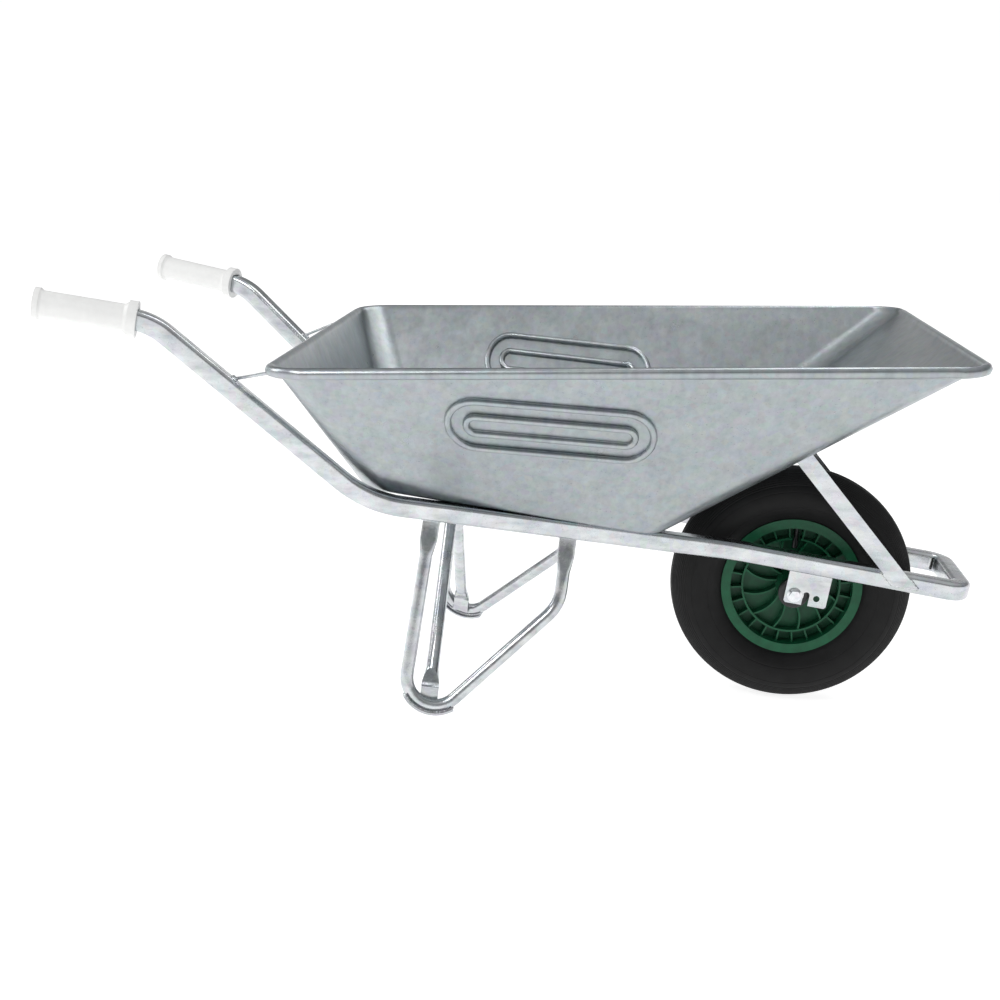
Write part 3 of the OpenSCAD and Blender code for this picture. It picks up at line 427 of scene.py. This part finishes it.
def rib_cut(phi):
    """How deep the moulded lines are cut at an angle, in degrees, round the tyre's section."""
    a = abs(phi)
    if a < TREAD_EDGE:
        return 0.0016 if abs(a - GROOVE_AT) < GROOVE_HALF else 0.0
    if a < SHOULDER_EDGE:
        return 0.0007 * (0.5 - 0.5 * math.cos(math.radians((a - TREAD_EDGE) * 360 / RIB_PITCH)))
    if any(low < a < high for low, high in SIDE_LINES):
        return 0.0005
    return 0.0


middle_r = TYRE_R - TYRE_HALF
outer = []
for i in range(-2 * SECTION_END, 2 * SECTION_END + 1):
    phi = i / 2
    rho = TYRE_HALF - rib_cut(phi)
    outer.append((middle_r + rho * math.cos(math.radians(phi)), rho * math.sin(math.radians(phi))))
rim_lo, rim_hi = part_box("wheel_rim")
FLANGE_R = (rim_hi.z - rim_lo.z) / 2
BEAD_Y = 0.0262
inner = [(FLANGE_R - 0.001, BEAD_Y), (FLANGE_R - 0.009, BEAD_Y - 0.002),
         (FLANGE_R - 0.009, -BEAD_Y + 0.002), (FLANGE_R - 0.001, -BEAD_Y)]
tyre = lathe("tyre_moulded", outer + inner, 180, MATS["tyre"], "wheel")
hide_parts("tyre")

# Vent hairs left by the mould: angle round the wheel, and angle round the tyre's section
HAIRS = ((12, 48), (64, -52), (118, 44), (171, -46), (205, 50), (243, -49), (292, 46), (338, -51))
HAIR_LEN = 0.006
HAIR_R = 0.00045
CLEAR_OF_FLOOR = 0.004
hairs, hair_faces = [], []
for turn, phi in HAIRS:
    radial = Vector((math.cos(math.radians(turn)), 0, math.sin(math.radians(turn))))
    away = math.cos(math.radians(phi)) * radial + math.sin(math.radians(phi)) * Vector((0, 1, 0))
    foot = Vector((axle.x, 0, axle.z)) + radial * middle_r + away * (TYRE_HALF - 0.001)
    tip = foot + away * HAIR_LEN + radial.cross(Vector((0, 1, 0))) * HAIR_LEN / 4
    if tip.z < CLEAR_OF_FLOOR:
        continue
    u = away.orthogonal().normalized() * HAIR_R
    v = away.cross(u)
    base = len(hairs)
    hairs += [foot + u, foot + v, foot - u, foot - v, tip]
    hair_faces += [(base + k, base + (k + 1) % 4, base + 4) for k in range(4)]
    hair_faces.append((base + 3, base + 2, base + 1, base))
piece("vent_hairs", hairs, hair_faces, MATS["tyre"], "wheel", smooth=False)

# ---------------------------------------------------------------- floor, light and camera
bpy.ops.mesh.primitive_plane_add(size=60, location=(0, 0, -0.0005))
floor = bpy.context.object
floor.name = "floor"
floor_mat = Mat("floor_white").set(Roughness=0.7, Emission_Color=(1, 1, 1, 1), Emission_Strength=0.85)
cloud = floor_mat.noise(3, 2, 0.5)
floor_mat.link(floor_mat.ramp(cloud, [(0.3, (0.56, 0.56, 0.56)), (0.7, (0.58, 0.58, 0.58))]), "Base Color")
floor.data.materials.append(floor_mat.mat)

# A white room with a dim ceiling, which the metal mirrors as darker tops
world = bpy.data.worlds.new("studio")
bpy.context.scene.world = world
world.use_nodes = True
tree = world.node_tree
sky = tree.nodes.new("ShaderNodeTexCoord")
height = tree.nodes.new("ShaderNodeSeparateXYZ")
shade = tree.nodes.new("ShaderNodeValToRGB")
tree.links.new(sky.outputs["Generated"], height.inputs[0])
tree.links.new(height.outputs["Z"], shade.inputs["Fac"])
tree.links.new(shade.outputs["Color"], tree.nodes["Background"].inputs["Color"])
fill_ramp(shade, [(0.17, (1, 1, 1)), (0.26, (0.155, 0.158, 0.16)), (0.45, (0.29, 0.295, 0.30)),
                  (0.8, (0.54, 0.545, 0.55)), (1.0, (0.61, 0.615, 0.62))])
tree.nodes["Background"].inputs["Strength"].default_value = 1.02


def area(name, place, aim, size, power, size_y=None):
    """A soft panel light at a place, facing a point."""
    light = bpy.data.lights.new(name, "AREA")
    light.energy = power
    light.shape = "RECTANGLE"
    light.size = size
    light.size_y = size_y or size
    obj = bpy.data.objects.new(name, light)
    bpy.context.scene.collection.objects.link(obj)
    obj.location = place
    obj.rotation_mode = "QUATERNION"
    obj.rotation_quaternion = (Vector(aim) - Vector(place)).to_track_quat("-Z", "Y")
    return obj


area("key", (-1.4, -2.0, 3.0), (0, 0, 0.3), 1.4, 38)
area("rear", (-2.8, 0.3, 2.0), (0.4, 0, 0.45), 1.3, 22)
area("strip", (0.6, 1.2, 3.0), (0.1, 0, 0.4), 0.5, 16, 2.6)

# Camera on the right-hand side, level with the tray's middle: its place and its own three axes
CAMERA_PLACE = Vector((axle.x - 0.3217, -2.2868, 0.8732))
CAMERA_RIGHT = Vector((0.99408, 0.08574, 0.06672))
CAMERA_UP = Vector((-0.08574, 0.24197, 0.96649))
CAMERA_BACK = Vector((0.06672, -0.96649, 0.24789))
cam_data = bpy.data.cameras.new("camera")
cam_data.sensor_width = 36
cam_data.lens = 52.2
camera = bpy.data.objects.new("camera", cam_data)
bpy.context.scene.collection.objects.link(camera)
turn = Matrix((CAMERA_RIGHT, CAMERA_UP, CAMERA_BACK)).transposed().to_4x4()
camera.matrix_world = Matrix.Translation(CAMERA_PLACE) @ turn
bpy.context.scene.camera = camera
bpy.context.scene.view_settings.view_transform = "Standard"
